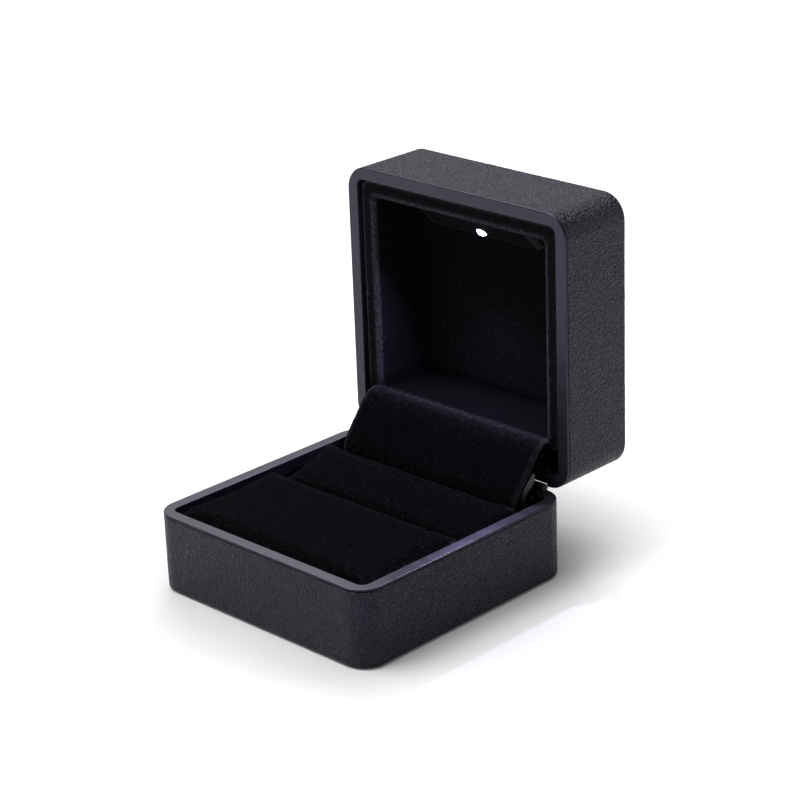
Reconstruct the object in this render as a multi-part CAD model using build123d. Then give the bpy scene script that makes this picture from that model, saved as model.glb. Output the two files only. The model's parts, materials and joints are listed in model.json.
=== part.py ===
from build123d import *
import math
import os

# A lighted ring box, standing open. Millimetres, +Z up. The origin is the centre of the
# underside. The front face looks along -Y, and the lid turns about an axis along X at the
# outer back edge. Every lid part is drawn as the box is when shut, then turned open.

# ---- driving dimensions -------------------------------------------------------------
WIDTH = 66.0                # outside, along X
DEPTH = 64.4                # outside, along Y
CORNER_R = 5.8              # vertical corners
BASE_H = 18.7               # underside to the base's rim face
LID_H = 20.2                # lid's rim face to the lid's top
SHUT_GAP = 0.2              # between the two rim faces when shut
OPEN_ANGLE = 90.0           # from shut to the open pose

SKIN = 0.6                  # leatherette
WALL = 1.6                  # moulded shells
BASE_FLOOR = 1.5
LID_TOP = 1.4
SHEET = 0.4                 # paper sheet under the base
SHEET_INSET = 0.9
BOTTOM_HEM = 5.0            # leatherette turned under the base
OUTER_EDGE_R = 0.5          # where the skin turns over the outer face

RIM_WIDTH = 3.0
RIM_LIP = 0.35              # height of the rim that shows outside
RIM_STEP = 1.0              # height of the rim's flat part
RIM_GROOVE = 0.6            # how deep the shadow groove under the rim is
RIM_SKIRT = 3.0             # depth of the skirt inside the shell
RIM_EDGE_R = 0.28           # outer edge of the rim face
RIM_INNER_EDGE_R = 0.25     # inner edge of the rim face
RIM_INNER_R = 1.8           # corners of the rim's opening
SKIN_START = 0.55           # rim face to the skin's edge

HINGE_Y = DEPTH / 2 + 0.3
HINGE_Z = BASE_H + SHUT_GAP / 2
LID_FACE_Z = BASE_H + SHUT_GAP
HINGE_HALF = 26.4           # half the length of the knuckle row
KNUCKLES = 5
KNUCKLE_R = 0.9
PIN_R = 0.5
PIN_CLEARANCE = 0.04
KNUCKLE_GAP = 0.2
RELIEF_R = 1.1              # scallop in rims and skins round the knuckles
LEAF = 0.45                 # hinge sheet steel
LEAF_HALF = 24.0            # half the length of the upright plate
LEAF_DROP = 1.05            # rim face to the leaf's flat flange
LEAF_Y = 28.1               # front face of the upright plate
LEAF_LENGTH = 11.0          # how far the upright plate reaches from the rim face
FLANGE_END = DEPTH / 2 - 0.6
BLOCK_END = 12.0            # moulded block behind the plate
SCREW_X = (-20.0, -8.0, 8.0, 20.0)
SCREW_DROP = 6.0            # rim face to the screw row
SCREW_R = 0.6
SCREW_LENGTH = 2.9
SCREW_HEAD_R = 1.2
SCREW_HEAD = 0.4
SCREW_SLOT = 0.3
EAR_X = 26.0                # centre of the curved ears
EAR_T = 0.8
EAR_ROOT_TOP = 13.2         # where an ear leaves the upright plate
EAR_NOSE = ((26.0, 13.4), (24.4, 17.2), (24.3, 19.1), (25.6, 21.2), (28.1, 23.7))   # Y and Z
EAR_CROWN = ((28.1, 23.7), (28.75, 23.4), (28.9, 22.6))
EAR_HEEL = ((28.9, 22.6), (27.8, 20.7), (26.1, 19.1), (26.5, 16.2), (28.4, 13.4))
SPRING_PATH = ((27.7, 9.0), (26.0, 13.8), (25.9, 18.6), (27.6, 22.4), (31.0, 25.0),
               (35.9, 25.5), (41.5, 23.42))   # Y and Z of the bowed strip, lid open
SPRING_T = 0.3
SPRING_HALF = 9.0           # half width of the strip

PAD_HALF = 29.4             # half width of both pads
PAD_FLOOR = 6.0             # top of the board that carries the pads
PAD_BOARD = 0.8
PAD_SKIN = 0.6              # velvet
FRONT_PAD = (-28.7, 1.9)    # front and back faces
FRONT_PAD_TOP = 17.7
REAR_PAD = (4.5, 20.3)
REAR_PAD_LOW = 15.0         # top at the ring slot
REAR_PAD_RIDGE = 19.2
PAD_EDGE_R = 1.6
RIB_X = (-20.0, 0.0, 20.0)  # ribs on the base's floor, under the board
RIB_T = 1.4
RIB_Y = (-29.4, 18.5)

LINER_HALF = 25.75          # half width of the lid's velvet hollow
LINER_FRONT = -25.05
LINER_BACK = 21.3
LINER_T = 0.7
LINER_LIP = 1.0             # rim face to the liner's lip
LINER_DEEP = 16.2           # rim face to the liner's panel
LINER_LIP_HALF = 29.75
LINER_LIP_FRONT = -29.05
LINER_LIP_R = 1.5
LINER_CORNER_R = 1.2        # inside corners of the hollow

LAMP_HALF = 17.2
LAMP_TOP = 4.2              # rim face to the top of the lamp's sloping face
LAMP_REACH = 6.4            # the sloping face runs at 45 degrees over this distance
LAMP_T = 0.7
LED_R = 1.5
LAMP_CORNER_R = 1.5
LED_BACK = 1.7              # lens centre to the sloping face's free edge
LED_SINK = 0.8              # lens centre behind the sloping face
LED_BARREL = 3.3
LED_FLANGE = (1.75, 0.8)    # radius and thickness
LED_LEAD = (0.2, 0.8)       # radius and length
LED_LEAD_X = (-0.7, 0.7)
LED_BOARD = (16.0, 3.2, 0.6)
LED_RESISTOR = (2.0, 1.25, 0.4)
LED_RESISTOR_X = 4.5

CELL_R = 3.95
CELL_T = 2.6
CELL_CAP = 0.3              # raised cap at the front of each cell
CELL_PITCH = 8.8
CELL_Y = -29.25             # back face of the row of cells
CELL_Z = 9.5
CELL_CLEARANCE = 0.1
CONTACT_T = 0.2
CONTACT_W = 2.0
HOLDER_HALF = 14.4
HOLDER_Y = (-29.95, -26.0)
HOLDER_Z = (4.6, 14.4)
CONTACT_SLOT_HALF = 12.5
CONTACT_SLOT = 2.6          # height of the contacts' slots in the holder

WIRE_R = 0.28
WIRE_BEND_R = 0.7
WIRE_Z = LINER_DEEP + LINER_T + 0.45      # wires behind the liner's panel
BOARD_END_Z = 13.65         # where both wires meet the lamp's board
WIRE_HOLE = 1.2             # side of the square holes in the liner's panel
BOARD_WIRE_Y = -23.65
BATTERY_WIRE_X = 5.0
LAMP_WIRE_X = -4.0
HOLDER_WIRE_Y = -26.3

SWITCH_X = -26.0
SWITCH_HALF_X = 1.5
SWITCH_Y = (26.2, 29.7)
SWITCH_Z = (6.2, 11.0)
SWITCH_PINS = (-26.6, -25.4)
SWITCH_PIN_Y = 27.4
PLUNGER_R = 0.7
PLUNGER_Y = 28.4
PLUNGER_DEEP = 7.8          # rim face to the plunger's inner end

FLAP_HALF = 27.1
FLAP_PIVOT = (21.4, 19.3)   # Y and Z when shut
FLAP_END = (21.9, 17.4)     # Y and Z of the free edge when open
FLAP_BULGE = 1.2
FLAP_SKEW = 0.7             # below 1 the fullest place is nearer the fold
FLAP_BEAD_R = 0.5
FLAP_CARD = 0.6
FLAP_SKIN = 0.4

# ---- helpers ------------------------------------------------------------------------


def rounded_slab(half_x, y_low, y_high, radius, z_low, z_high):
    """A flat block with rounded vertical corners."""
    outline = RectangleRounded(2 * half_x, y_high - y_low, radius)
    middle = (y_low + y_high) / 2
    return Pos(0, middle, z_low) * extrude(outline, amount=z_high - z_low)


def body_slab(inset, z_low, z_high):
    """A slab with the box's outline, moved in by inset."""
    half_y = DEPTH / 2 - inset
    return rounded_slab(WIDTH / 2 - inset, -half_y, half_y, CORNER_R - inset, z_low, z_high)


def block(x_low, x_high, y_low, y_high, z_low, z_high):
    size = Box(x_high - x_low, y_high - y_low, z_high - z_low)
    return Pos((x_low + x_high) / 2, (y_low + y_high) / 2, (z_low + z_high) / 2) * size


def bar(section, x_low, x_high):
    """A closed Y-Z outline carried along X."""
    return Pos(x_low, 0, 0) * extrude(section, amount=x_high - x_low, dir=(1, 0, 0))


def in_plane(points):
    """Y-Z points as points of the plane X = 0."""
    return [(0, y, z) for y, z in points]


def polygon(points):
    return make_face(Polyline(*in_plane(points), close=True))


def rod(radius, x_low, x_high, y, z):
    return Pos((x_low + x_high) / 2, y, z) * Rot(0, 90, 0) * Cylinder(radius, x_high - x_low)


def rod_y(radius, x, y_low, y_high, z):
    return Pos(x, (y_low + y_high) / 2, z) * Rot(90, 0, 0) * Cylinder(radius, y_high - y_low)


def place_base(half):
    """Turn a half drawn upwards from its rim face into the base."""
    return Pos(0, 0, BASE_H) * mirror(half, about=Plane.XY)


def open_lid(shut):
    """Turn a shut lid part to the open pose."""
    return shut.rotate(Axis((0, HINGE_Y, HINGE_Z), (1, 0, 0)), -OPEN_ANGLE)


def place_lid(half):
    return open_lid(Pos(0, 0, LID_FACE_Z) * half)


def open_point(y, z):
    """The open place of a point of the shut lid."""
    turn = math.radians(OPEN_ANGLE)
    dy = y - HINGE_Y
    dz = z - HINGE_Z
    return (HINGE_Y + dy * math.cos(turn) + dz * math.sin(turn),
            HINGE_Z - dy * math.sin(turn) + dz * math.cos(turn))


def edges_at(part, z):
    return [edge for edge in part.edges()
            if abs(edge.center().Z - z) < 1e-4 and edge.bounding_box().size.Z < 1e-4]


# ---- pieces that both halves have, drawn upwards from the rim face at z = 0 ------------


def knuckle_relief(radius):
    """The round clearance along the hinge axis, which lies just before the rim face."""
    return rod(radius, -HINGE_HALF - 0.4, HINGE_HALF + 0.4, HINGE_Y, -SHUT_GAP / 2)


def leaf_passage():
    """The shallow notch through the back wall that the hinge leaf's flange lies in."""
    reach = HINGE_HALF + 0.5
    return block(-reach, reach, LEAF_Y - 0.1, HINGE_Y + 1, SKIN_START - 1, LEAF_DROP + LEAF + 0.05)


def rim_frame():
    """The moulded frame that edges the opening, with a skirt inside the shell."""
    top = body_slab(0, 0, RIM_LIP)
    top = fillet(edges_at(top, 0), RIM_EDGE_R)
    step = body_slab(RIM_GROOVE, RIM_LIP, RIM_STEP)
    skirt = body_slab(SKIN + WALL + 0.05, RIM_STEP, RIM_SKIRT)
    half_y = DEPTH / 2 - RIM_WIDTH
    opening = rounded_slab(WIDTH / 2 - RIM_WIDTH, -half_y, half_y, RIM_INNER_R, -1, RIM_SKIRT + 1)
    frame = top + step + skirt - opening
    frame = fillet(edges_at(frame, 0), RIM_INNER_EDGE_R)
    reach = HINGE_HALF + 0.8
    frame -= block(-reach, reach, LEAF_Y, DEPTH / 2, RIM_STEP, RIM_SKIRT + 1)
    return frame - knuckle_relief(RELIEF_R)


def shell_tray(height, plate):
    """A moulded tray inside the skin, closed at its outer side, with the hinge block."""
    top = height - SKIN
    tray = body_slab(SKIN, RIM_STEP, top) - body_slab(SKIN + WALL, RIM_STEP - 1, top - plate)
    tray += block(-LEAF_HALF - 0.5, LEAF_HALF + 0.5, LEAF_Y + LEAF + 0.05,
                  DEPTH / 2 - SKIN - WALL / 2, RIM_STEP, BLOCK_END)
    tray -= leaf_passage()
    for x in SCREW_X:
        tray -= rod_y(SCREW_R + 0.03, x, LEAF_Y, LEAF_Y + SCREW_LENGTH + 0.1, SCREW_DROP)
    return tray


def skin_wall(height):
    """The leatherette round the four sides and over the outer face."""
    skin = body_slab(0, SKIN_START, height)
    skin = fillet(edges_at(skin, height), OUTER_EDGE_R)
    skin -= body_slab(SKIN, 0, height - SKIN)
    return skin - leaf_passage() - knuckle_relief(RELIEF_R)


def knuckle_spans():
    """The X span of each knuckle, and whether it belongs to the base."""
    pitch = 2 * HINGE_HALF / KNUCKLES
    spans = []
    for index in range(KNUCKLES):
        low = -HINGE_HALF + index * pitch + KNUCKLE_GAP / 2
        spans.append((low, low + pitch - KNUCKLE_GAP, index % 2 == 0))
    return spans


def hinge_leaf(for_base):
    """Sheet steel: an upright plate, a flange through the wall, and rolled knuckles."""
    under = LEAF_DROP + LEAF
    leaf = block(-LEAF_HALF, LEAF_HALF, LEAF_Y, LEAF_Y + LEAF, LEAF_DROP, LEAF_LENGTH)
    leaf += block(-HINGE_HALF, HINGE_HALF, LEAF_Y, FLANGE_END, LEAF_DROP, under)
    axis_z = -SHUT_GAP / 2
    for low, high, is_base in knuckle_spans():
        if is_base != for_base:
            continue
        leaf += block(low, high, FLANGE_END - 0.1, HINGE_Y + 0.2, LEAF_DROP, under)
        leaf += block(low, high, HINGE_Y - 0.2, HINGE_Y + 0.2, KNUCKLE_R / 2, under)
        leaf += rod(KNUCKLE_R, low, high, HINGE_Y, axis_z)
    leaf -= rod(PIN_R + PIN_CLEARANCE, -HINGE_HALF - 1, HINGE_HALF + 1, HINGE_Y, axis_z)
    for x in SCREW_X:
        leaf -= rod_y(SCREW_R + 0.05, x, LEAF_Y - 1, LEAF_Y + LEAF + 1, SCREW_DROP)
    return leaf


def leaf_screws():
    """Four small pan-head screws through a leaf into the moulded block."""
    group = []
    for x in SCREW_X:
        head = rod_y(SCREW_HEAD_R, x, LEAF_Y - SCREW_HEAD, LEAF_Y, SCREW_DROP)
        head = fillet(head.edges().sort_by(Axis.Y)[0], 0.25)
        shank = rod_y(SCREW_R, x, LEAF_Y, LEAF_Y + SCREW_LENGTH, SCREW_DROP)
        slot = block(x - SCREW_SLOT / 2, x + SCREW_SLOT / 2, LEAF_Y - SCREW_HEAD - 1,
                     LEAF_Y - SCREW_HEAD / 2, SCREW_DROP - 0.8, SCREW_DROP + 0.8)
        group.append(head + shank - slot)
    return Compound(children=group)


# ---- base --------------------------------------------------------------------------------


def base_shell():
    tray = shell_tray(BASE_H - SHEET, BASE_FLOOR)
    base = place_base(tray)
    floor_top = SHEET + SKIN + BASE_FLOOR
    for x in RIB_X:
        base += block(x - RIB_T / 2, x + RIB_T / 2, *RIB_Y, floor_top, PAD_FLOOR - PAD_BOARD)
    return base


def base_skin():
    """Leatherette round the base, with a hem turned under it."""
    skin = place_base(skin_wall(BASE_H - SHEET))
    return skin - body_slab(BOTTOM_HEM, -1, SHEET + SKIN + 0.01)


def base_sheet():
    return body_slab(SHEET_INSET, 0, SHEET)


def pad_board():
    return rounded_slab(PAD_HALF, FRONT_PAD[0], REAR_PAD[1], 2.0, PAD_FLOOR - PAD_BOARD, PAD_FLOOR)


def pad_solid(outline, half_x):
    """A pad with its ends and long edges eased."""
    pad = bar(polygon(outline), -half_x, half_x)
    top = [edge for edge in pad.edges() if edge.center().Z > PAD_FLOOR + 1]
    return fillet(top, PAD_EDGE_R)


def front_outline(inset):
    low, high = FRONT_PAD
    top = FRONT_PAD_TOP - inset
    return [(low + inset, PAD_FLOOR), (high - inset, PAD_FLOOR), (high - inset, top), (low + inset, top)]


def rear_outline(inset):
    low, high = REAR_PAD
    return [(low + inset, PAD_FLOOR), (high - inset, PAD_FLOOR),
            (high - inset, REAR_PAD_RIDGE - inset), (low + inset, REAR_PAD_LOW - inset)]


def pad_core(outline_of):
    """The foam inside a pad."""
    return pad_solid(outline_of(PAD_SKIN), PAD_HALF - PAD_SKIN)


def pad_cover(outline_of):
    """The velvet over a pad, open underneath."""
    return pad_solid(outline_of(0), PAD_HALF) - pad_core(outline_of)


def hinge_base_leaf():
    """The base's leaf, with a curved ear at each end that holds the flap out."""
    leaf = place_base(hinge_leaf(True))
    low_z = BASE_H - LEAF_LENGTH
    nose = Spline((0, LEAF_Y, low_z), *in_plane(EAR_NOSE))
    crown = ThreePointArc(*in_plane(EAR_CROWN))
    heel = Spline(*in_plane(EAR_HEEL))
    foot = Polyline(heel @ 1, (0, LEAF_Y + LEAF, EAR_ROOT_TOP), (0, LEAF_Y + LEAF, low_z), nose @ 0)
    outline = make_face([nose, crown, heel, foot])
    for side in (-1, 1):
        middle = side * EAR_X
        leaf += bar(outline, middle - EAR_T / 2, middle + EAR_T / 2)
        low_x, high_x = sorted((side * (LEAF_HALF - 0.5), middle))
        leaf += block(low_x, high_x, LEAF_Y, LEAF_Y + LEAF, low_z, EAR_ROOT_TOP)
    return leaf


def hinge_pin():
    reach = HINGE_HALF + 0.3
    pin = rod(PIN_R, -reach, reach, HINGE_Y, HINGE_Z)
    return chamfer(pin.edges(), 0.12)


def hinge_spring():
    """The bowed strip that snaps the lid open or shut, drawn with the lid open."""
    sides = []
    for way in (-1, 1):
        row = []
        for index, (y, z) in enumerate(SPRING_PATH):
            before = SPRING_PATH[max(index - 1, 0)]
            after = SPRING_PATH[min(index + 1, len(SPRING_PATH) - 1)]
            run_y = after[0] - before[0]
            run_z = after[1] - before[1]
            shift = way * SPRING_T / 2 / math.hypot(run_y, run_z)
            row.append((0, y - shift * run_z, z + shift * run_y))
        sides.append(row)
    first, second = sides
    outline = make_face([Spline(*first), Line(first[-1], second[-1]), Spline(*second),
                         Line(second[0], first[0])])
    return bar(outline, -SPRING_HALF, SPRING_HALF)


# ---- lid ---------------------------------------------------------------------------------


def lid_liner():
    """The velvet-faced tray: a lip behind the rim, four walls and a deep panel."""
    lip_end = LINER_LIP + LINER_T
    panel_end = LINER_DEEP + LINER_T
    back = LINER_BACK + LINER_T
    lip = rounded_slab(LINER_LIP_HALF, LINER_LIP_FRONT, back, LINER_LIP_R, LINER_LIP, lip_end)
    lip += block(-LINER_LIP_HALF, LINER_LIP_HALF, back - 6, back, LINER_LIP, lip_end)
    tub = rounded_slab(LINER_HALF + LINER_T, LINER_FRONT - LINER_T, back,
                       LINER_CORNER_R + LINER_T, LINER_LIP, panel_end)
    hollow = rounded_slab(LINER_HALF, LINER_FRONT, LINER_BACK, LINER_CORNER_R, 0, LINER_DEEP)
    tray = lip + tub - hollow
    for x in (LAMP_WIRE_X, BATTERY_WIRE_X):
        hole = Box(WIRE_HOLE, WIRE_HOLE, 4 * LINER_T)
        tray -= Pos(x, BOARD_WIRE_Y, LINER_DEEP) * hole
    return tray


def lamp_section(inset):
    """The Y-Z outline of the lamp housing, which hangs from the liner's front wall."""
    front = LINER_FRONT + 0.05
    reach = front + LAMP_REACH - inset
    slope = inset * math.sqrt(2)
    deep = LINER_DEEP - 0.05
    top = LAMP_TOP + slope
    return [(front, top), (reach, top + reach - front), (reach, deep), (front, deep)]


def lamp_point(along, out):
    """A Y-Z point: along the sloping face from its free edge, and out from that face."""
    diagonal = math.sqrt(0.5)
    y = LINER_FRONT + 0.05 + LAMP_REACH - along * diagonal + out * diagonal
    z = LAMP_TOP + LAMP_REACH - along * diagonal - out * diagonal
    return y, z


def lamp_rod(radius, out_low, out_high, x=0.0):
    """A rod square to the sloping face, on the LED's line."""
    y, z = lamp_point(LED_BACK, (out_low + out_high) / 2)
    return Pos(x, y, z) * Rot(-135, 0, 0) * Cylinder(radius, out_high - out_low)


def lamp_plate(size, out, x=0.0):
    """A flat plate parallel to the sloping face, on the LED's line."""
    y, z = lamp_point(LED_BACK, out)
    return Pos(x, y, z) * Rot(-135, 0, 0) * Box(*size)


def lamp_cover():
    """The velvet-faced lamp housing, open to the liner's wall and panel."""
    cover = bar(polygon(lamp_section(0)), -LAMP_HALF, LAMP_HALF)
    inside = bar(polygon(lamp_section(LAMP_T)), -LAMP_HALF + LAMP_T, LAMP_HALF - LAMP_T)
    face_y = lamp_section(0)[2][0]
    corners = [edge for edge in cover.edges()
               if abs(edge.center().Y - face_y) < 0.01 and abs(edge.center().X) > 1]
    return fillet(corners, LAMP_CORNER_R) - inside - lamp_rod(LED_R + 0.1, -3, 2)


LED_FOOT = -LED_SINK - LED_BARREL       # the flange's back, out from the sloping face
LED_BOARD_FACE = LED_FOOT - LED_LEAD[1]


def led_lens():
    """A three millimetre LED: flange, barrel and dome."""
    y, z = lamp_point(LED_BACK, -LED_SINK)
    dome = Pos(0, y, z) * Sphere(LED_R)
    radius, thickness = LED_FLANGE
    return lamp_rod(LED_R, LED_FOOT, -LED_SINK) + dome + lamp_rod(radius, LED_FOOT, LED_FOOT + thickness)


def led_leads():
    return Compound(children=[lamp_rod(LED_LEAD[0], LED_BOARD_FACE, LED_FOOT, x) for x in LED_LEAD_X])


def led_board():
    return lamp_plate(LED_BOARD, LED_BOARD_FACE - LED_BOARD[2] / 2)


def led_resistor():
    return lamp_plate(LED_RESISTOR, LED_BOARD_FACE + LED_RESISTOR[2] / 2, LED_RESISTOR_X)


def cell_places():
    return (-CELL_PITCH, 0.0, CELL_PITCH)


def battery_holder():
    """A moulded cradle with three pockets, and a slot before and behind for the contacts."""
    holder = block(-HOLDER_HALF, HOLDER_HALF, *HOLDER_Y, *HOLDER_Z)
    open_front = HOLDER_Y[1] + 1
    for x in cell_places():
        holder -= rod_y(CELL_R + CELL_CLEARANCE, x, CELL_Y - CONTACT_T, open_front, CELL_Z)
    for low_y, high_y in ((CELL_Y - CONTACT_T, CELL_Y), (CELL_Y + CELL_T, open_front)):
        holder -= block(-CONTACT_SLOT_HALF, CONTACT_SLOT_HALF, low_y, high_y,
                        CELL_Z - CONTACT_SLOT / 2, CELL_Z + CONTACT_SLOT / 2)
    corners = holder.edges().filter_by(Axis.Y).sort_by(lambda edge: -abs(edge.center().X))[:4]
    return fillet(corners, 0.8)


def button_cells():
    group = []
    rim = CELL_Y + CELL_T - CELL_CAP
    for x in cell_places():
        can = rod_y(CELL_R, x, CELL_Y, rim, CELL_Z)
        cap = rod_y(CELL_R - 0.7, x, rim, CELL_Y + CELL_T, CELL_Z)
        group.append(fillet(can.edges(), 0.25) + cap)
    return Compound(children=group)


def contact_strips(spans, y_low):
    """Thin spring strips that join the cells in a row."""
    low_z = CELL_Z - CONTACT_W / 2
    high_z = CELL_Z + CONTACT_W / 2
    strips = [block(low, high, y_low, y_low + CONTACT_T, low_z, high_z) for low, high in spans]
    return Compound(children=strips)


def rear_contacts():
    return contact_strips([(-11.5, -6.5), (-1.5, 11.0)], CELL_Y - CONTACT_T)


def front_contacts():
    return contact_strips([(-11.0, 1.5), (6.5, 11.5)], CELL_Y + CELL_T)


def wire(points):
    """A round wire along straight runs with bent corners."""
    path = FilletPolyline(*points, radius=WIRE_BEND_R)
    start = Vector(*points[0])
    plane = Plane(origin=start, z_dir=Vector(*points[1]) - start)
    return sweep(plane * Circle(WIRE_R), path=path)


def battery_wire():
    """Battery to the lamp's board, over the liner's panel and down through it."""
    x = BATTERY_WIRE_X
    start_z = HOLDER_Z[1] + 0.3
    return wire([(x, HOLDER_WIRE_Y, start_z), (x, HOLDER_WIRE_Y, WIRE_Z), (x, BOARD_WIRE_Y, WIRE_Z),
                 (x, BOARD_WIRE_Y, BOARD_END_Z)])


def switch_wires():
    """Switch to battery and switch to the lamp, behind the liner's panel."""
    low = SWITCH_Z[1] + 0.3
    left, right = SWITCH_PINS
    battery_x = -10.0
    battery_y = -27.9
    to_battery = wire([(right, SWITCH_PIN_Y, low), (right, SWITCH_PIN_Y, WIRE_Z), (-16.0, 20.0, WIRE_Z),
                       (battery_x, battery_y, WIRE_Z), (battery_x, battery_y, HOLDER_Z[1] + 0.2)])
    to_lamp = wire([(left, SWITCH_PIN_Y, low), (left, SWITCH_PIN_Y, WIRE_Z), (left, 24.2, WIRE_Z),
                    (-14.0, -10.0, WIRE_Z), (LAMP_WIRE_X, BOARD_WIRE_Y, WIRE_Z),
                    (LAMP_WIRE_X, BOARD_WIRE_Y, BOARD_END_Z)])
    return Compound(children=[to_battery, to_lamp])


def switch_body():
    """The switch's case, with two solder pins and the plunger's bore."""
    body = block(SWITCH_X - SWITCH_HALF_X, SWITCH_X + SWITCH_HALF_X, *SWITCH_Y, *SWITCH_Z)
    body = fillet(body.edges().filter_by(Axis.Z), 0.3)
    for x in SWITCH_PINS:
        body += Pos(x, SWITCH_PIN_Y, SWITCH_Z[1] + 0.12) * Cylinder(0.2, 0.3)
    bore = Cylinder(PLUNGER_R + 0.05, 3.0)
    return body - Pos(SWITCH_X, PLUNGER_Y, PLUNGER_DEEP - 0.2) * bore


def switch_plunger():
    tip = LAMP_TOP - 0.3
    stem = Pos(SWITCH_X, PLUNGER_Y, (tip + PLUNGER_DEEP) / 2) * Cylinder(PLUNGER_R, PLUNGER_DEEP - tip)
    return fillet(stem.edges().sort_by(Axis.Z)[0], 0.3)


# ---- flap over the hinge, drawn with the lid open ---------------------------------------------


def flap_curve(offset, first, count=9):
    """Points along the flap's section, moved out from its middle by offset."""
    top_y, top_z = open_point(*FLAP_PIVOT)
    run_y = FLAP_END[0] - top_y
    run_z = FLAP_END[1] - top_z
    length = math.hypot(run_y, run_z)
    out_y = run_z / length
    out_z = -run_y / length
    fullest = FLAP_SKEW / (1 + FLAP_SKEW)
    peak = fullest ** FLAP_SKEW * (1 - fullest)
    points = []
    for index in range(count):
        part = first + (1 - first) * index / (count - 1)
        rise = FLAP_BULGE * part ** FLAP_SKEW * (1 - part) / peak + offset
        points.append((0, top_y + run_y * part + out_y * rise, top_z + run_z * part + out_z * rise))
    return points


def flap_layer(low, high, first):
    near = flap_curve(low, first)
    far = flap_curve(high, first)
    outline = make_face([Spline(*near), Line(near[-1], far[-1]), Spline(*far), Line(far[0], near[0])])
    return bar(outline, -FLAP_HALF, FLAP_HALF)


def flap_bead(radius):
    top_y, top_z = open_point(*FLAP_PIVOT)
    return rod(radius, -FLAP_HALF, FLAP_HALF, top_y, top_z)


def flap_card():
    """The stiff card that carries the flap's velvet."""
    middle = (FLAP_CARD - FLAP_SKIN) / 2
    return flap_layer(middle - FLAP_CARD, middle, 0.06) - flap_bead(FLAP_BEAD_R + 0.02)


def flap_cover():
    """The flap's velvet, with the folded edge it turns on."""
    middle = (FLAP_CARD - FLAP_SKIN) / 2
    return flap_layer(middle, middle + FLAP_SKIN, 0) + flap_bead(FLAP_BEAD_R)


# ---- every node ---------------------------------------------------------------------------------

PARTS = {
    "base_shell": base_shell,
    "base_leatherette": base_skin,
    "base_rim": lambda: place_base(rim_frame()),
    "base_bottom_sheet": base_sheet,
    "pad_board": pad_board,
    "front_pad_foam": lambda: pad_core(front_outline),
    "front_pad_velvet": lambda: pad_cover(front_outline),
    "rear_pad_foam": lambda: pad_core(rear_outline),
    "rear_pad_velvet": lambda: pad_cover(rear_outline),
    "hinge_base_leaf": hinge_base_leaf,
    "hinge_base_screws": lambda: place_base(leaf_screws()),
    "hinge_pin": hinge_pin,
    "hinge_spring": hinge_spring,
    "lid_shell": lambda: place_lid(shell_tray(LID_H, LID_TOP)),
    "lid_leatherette": lambda: place_lid(skin_wall(LID_H)),
    "lid_rim": lambda: place_lid(rim_frame()),
    "lid_liner": lambda: place_lid(lid_liner()),
    "hinge_lid_leaf": lambda: place_lid(hinge_leaf(False)),
    "hinge_lid_screws": lambda: place_lid(leaf_screws()),
    "lamp_cover": lambda: place_lid(lamp_cover()),
    "led_lens": lambda: place_lid(led_lens()),
    "led_leads": lambda: place_lid(led_leads()),
    "led_board": lambda: place_lid(led_board()),
    "led_resistor": lambda: place_lid(led_resistor()),
    "battery_holder": lambda: place_lid(battery_holder()),
    "button_cells": lambda: place_lid(button_cells()),
    "battery_contacts_rear": lambda: place_lid(rear_contacts()),
    "battery_contacts_front": lambda: place_lid(front_contacts()),
    "battery_wire": lambda: place_lid(battery_wire()),
    "switch_wires": lambda: place_lid(switch_wires()),
    "switch_body": lambda: place_lid(switch_body()),
    "switch_plunger": lambda: place_lid(switch_plunger()),
    "flap_card": flap_card,
    "flap_velvet": flap_cover,
}

os.makedirs("parts", exist_ok=True)
for node, build in PARTS.items():
    export_step(build(), f"parts/{node}.step")
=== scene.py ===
import json
import math

import bmesh
import bpy
import numpy as np
from mathutils import Matrix, Quaternion, Vector, noise


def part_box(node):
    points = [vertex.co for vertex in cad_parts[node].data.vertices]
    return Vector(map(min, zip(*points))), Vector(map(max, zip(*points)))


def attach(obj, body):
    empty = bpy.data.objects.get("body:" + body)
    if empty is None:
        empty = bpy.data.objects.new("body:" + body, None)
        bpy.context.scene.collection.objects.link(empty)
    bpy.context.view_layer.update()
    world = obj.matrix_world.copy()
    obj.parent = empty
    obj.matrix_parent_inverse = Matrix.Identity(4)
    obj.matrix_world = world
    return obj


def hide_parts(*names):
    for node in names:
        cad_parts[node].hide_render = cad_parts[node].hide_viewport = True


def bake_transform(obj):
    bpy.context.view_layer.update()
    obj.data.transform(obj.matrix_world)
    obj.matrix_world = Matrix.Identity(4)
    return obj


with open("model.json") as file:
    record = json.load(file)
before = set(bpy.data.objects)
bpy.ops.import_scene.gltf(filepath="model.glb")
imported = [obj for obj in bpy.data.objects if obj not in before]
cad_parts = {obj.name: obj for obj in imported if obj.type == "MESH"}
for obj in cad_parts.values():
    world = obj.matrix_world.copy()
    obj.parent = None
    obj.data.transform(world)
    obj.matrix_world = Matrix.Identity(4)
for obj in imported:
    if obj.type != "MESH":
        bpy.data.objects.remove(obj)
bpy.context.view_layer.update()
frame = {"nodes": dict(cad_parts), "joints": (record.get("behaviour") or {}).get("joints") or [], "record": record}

# The looks of a lighted ring box that stands open. Each half's shapes are drawn in its own
# millimetres: X along the hinge, Y from the front to the hinge, and height measured from
# that half's rim face into the half. BASE and LID turn such a point into the shared frame.
MM = 0.001

# ---- what the frame says ---------------------------------------------------------------

hinge = next(joint for joint in frame["joints"] if joint["name"] == "lid_hinge")
HINGE = Vector(hinge["pos_m"])
OPEN_TURN = math.radians(hinge["range_deg"][1])
RIM_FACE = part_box("base_rim")[1].z

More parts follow.
